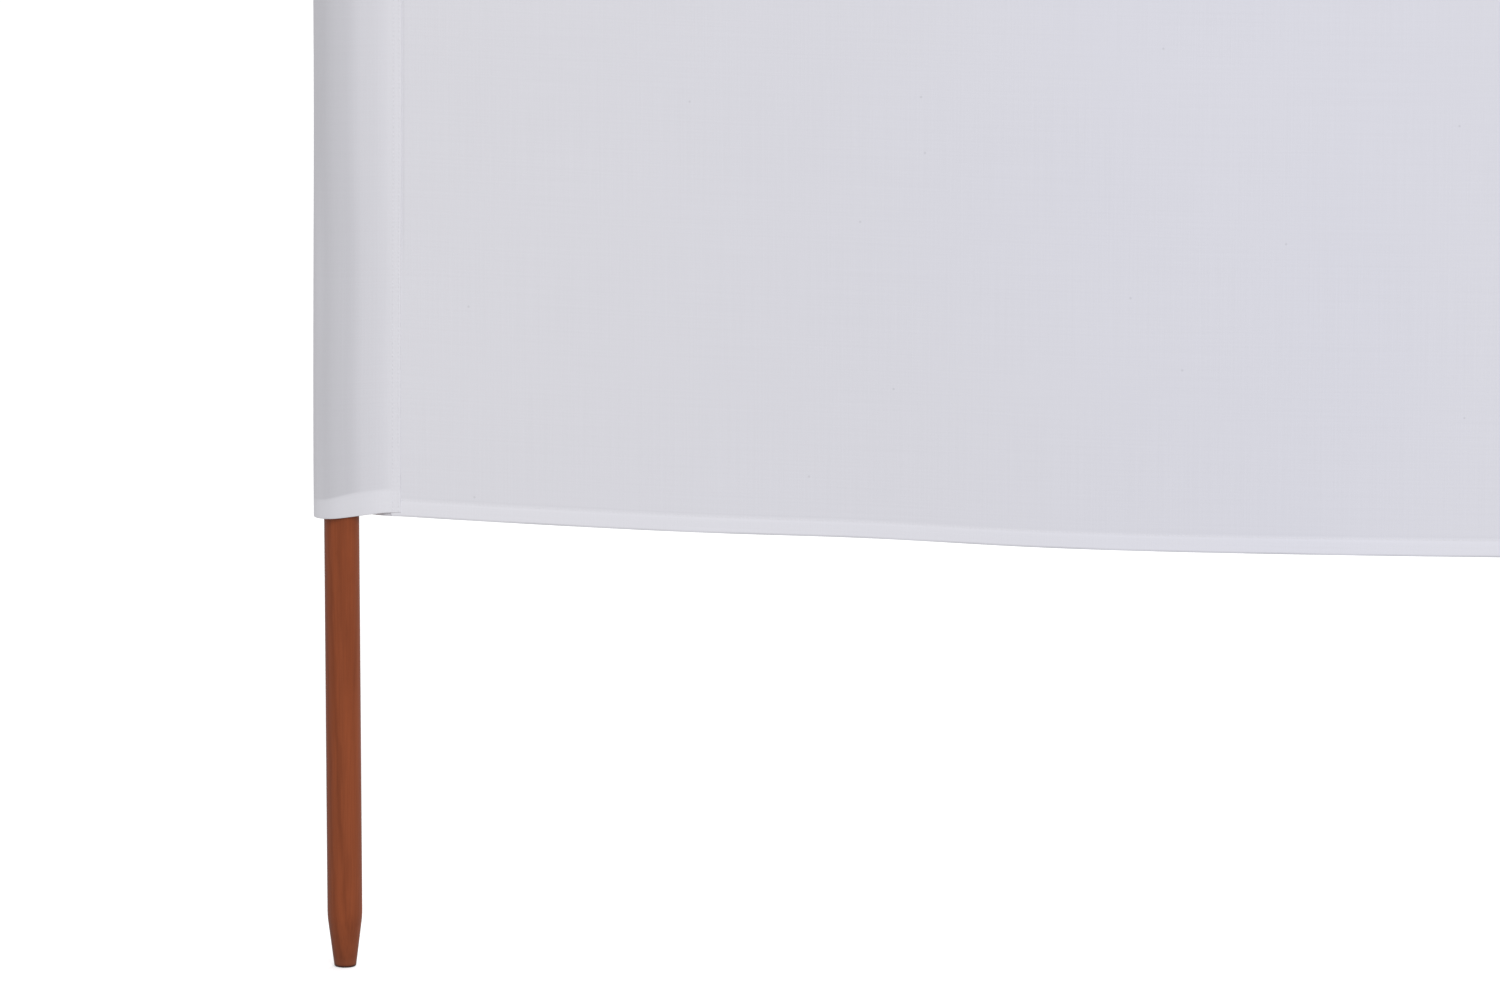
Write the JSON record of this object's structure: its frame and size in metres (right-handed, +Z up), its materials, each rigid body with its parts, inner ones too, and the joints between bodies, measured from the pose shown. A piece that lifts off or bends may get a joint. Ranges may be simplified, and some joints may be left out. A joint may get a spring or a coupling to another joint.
{
  "type": "beach windbreak",
  "caption": "Beach windbreak: a long plain cloth screen in slack bays, with pointed wooden posts standing in pockets sewn into the cloth.",
  "frame": {"origin": "centre of the flat end of the middle post's point", "axes": "+X along the screen, +Z up the posts, -Y towards the side with the sewn laps"},
  "size_m": [5.3606, 0.0328, 1.2],
  "materials": {
    "post_wood": "satin stain",
    "screen_cloth": "matt weave"
  },
  "bodies": {
    "root": {"post_1": "post_wood", "post_2": "post_wood", "post_3": "post_wood", "post_4": "post_wood", "post_5": "post_wood", "sleeve_1": "screen_cloth", "sleeve_2": "screen_cloth", "sleeve_3": "screen_cloth", "sleeve_4": "screen_cloth", "sleeve_5": "screen_cloth", "panel_1": "screen_cloth", "panel_2": "screen_cloth", "panel_3": "screen_cloth", "panel_4": "screen_cloth", "bottom_hem_1": "screen_cloth", "bottom_hem_2": "screen_cloth", "bottom_hem_3": "screen_cloth", "bottom_hem_4": "screen_cloth", "top_hem_1": "screen_cloth", "top_hem_2": "screen_cloth", "top_hem_3": "screen_cloth", "top_hem_4": "screen_cloth"}
  },
  "joints": []
}
